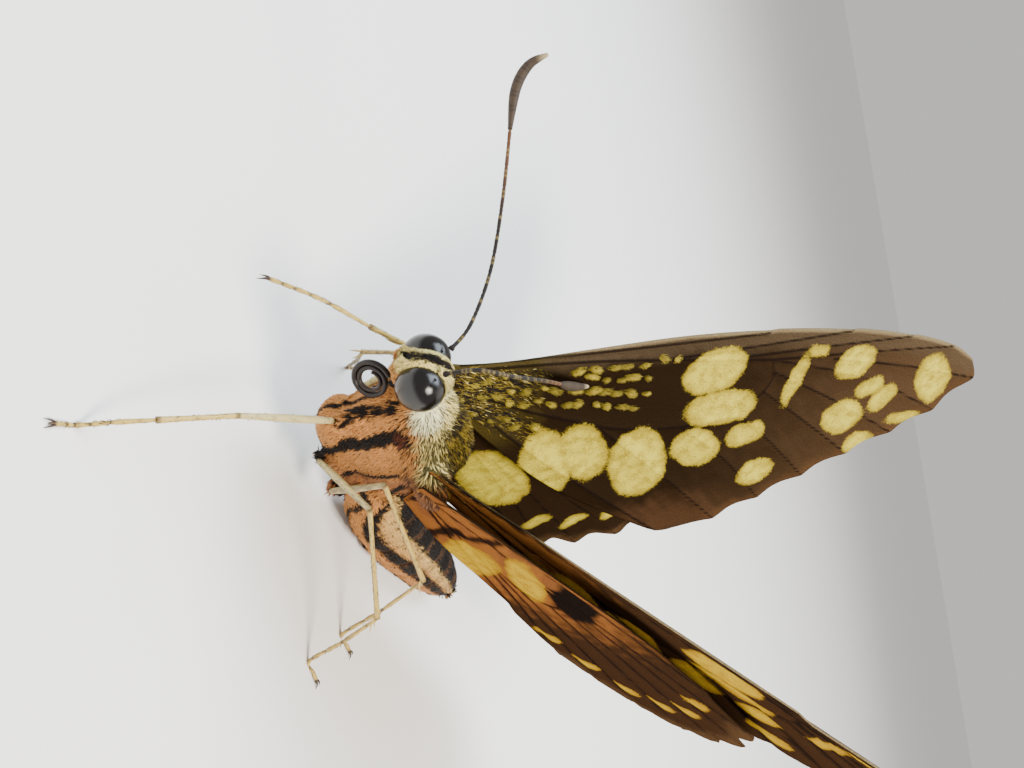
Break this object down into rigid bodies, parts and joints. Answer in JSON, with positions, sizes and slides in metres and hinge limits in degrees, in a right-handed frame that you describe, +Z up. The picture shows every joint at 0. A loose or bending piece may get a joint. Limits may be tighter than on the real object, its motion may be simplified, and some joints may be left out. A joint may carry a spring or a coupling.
{
  "type": "swallowtail butterfly",
  "caption": "Life-size swallowtail butterfly standing with spotted wings half raised, tongue coiled and one foreleg lifted.",
  "frame": {"origin": "middle of the figure's bounding box, at floor level; five feet and the belly stand on the floor at Z = 0", "axes": "+X is the animal's left, +Y its rear, +Z up"},
  "size_m": [0.0442, 0.0514, 0.0455],
  "materials": {
    "head_fur": "short cream and black scales and hair",
    "eye_cornea": "glossy black-brown compound eye",
    "proboscis_horn": "dark semi-gloss horn",
    "antenna_horn": "fine black scales with pale rings",
    "thorax_fur": "peach and black hair over scales",
    "abdomen_fur": "smooth peach scales with black stripes",
    "wing_scales": "matt brown-black scales with pale yellow spots",
    "leg_horn": "cream scales over brown horn"
  },
  "bodies": {
    "root": {"head": "head_fur", "eye_left": "eye_cornea", "palp_left": "head_fur", "antenna_left": "antenna_horn", "antenna_club_left": "antenna_horn", "forewing_left": "wing_scales", "hindwing_left": "wing_scales", "leg_front_left_coxa": "thorax_fur", "leg_front_left_femur": "leg_horn", "leg_front_left_tibia": "leg_horn", "leg_front_left_tarsus": "leg_horn", "leg_middle_left_coxa": "thorax_fur", "leg_middle_left_femur": "leg_horn", "leg_middle_left_tibia": "leg_horn", "leg_middle_left_tarsus": "leg_horn", "leg_hind_left_coxa": "thorax_fur", "leg_hind_left_femur": "leg_horn", "leg_hind_left_tibia": "leg_horn", "leg_hind_left_tarsus": "leg_horn", "eye_right": "eye_cornea", "palp_right": "head_fur", "antenna_right": "antenna_horn", "antenna_club_right": "antenna_horn", "forewing_right": "wing_scales", "hindwing_right": "wing_scales", "leg_front_right_coxa": "thorax_fur", "leg_front_right_femur": "leg_horn", "leg_front_right_tibia": "leg_horn", "leg_front_right_tarsus": "leg_horn", "leg_middle_right_coxa": "thorax_fur", "leg_middle_right_femur": "leg_horn", "leg_middle_right_tibia": "leg_horn", "leg_middle_right_tarsus": "leg_horn", "leg_hind_right_coxa": "thorax_fur", "leg_hind_right_femur": "leg_horn", "leg_hind_right_tibia": "leg_horn", "leg_hind_right_tarsus": "leg_horn", "proboscis": "proboscis_horn", "prothorax": "thorax_fur", "mesothorax": "thorax_fur", "metathorax": "thorax_fur", "abdomen_front": "abdomen_fur", "abdomen_middle": "abdomen_fur", "abdomen_rear": "abdomen_fur", "abdomen_tip": "abdomen_fur"}
  },
  "joints": []
}
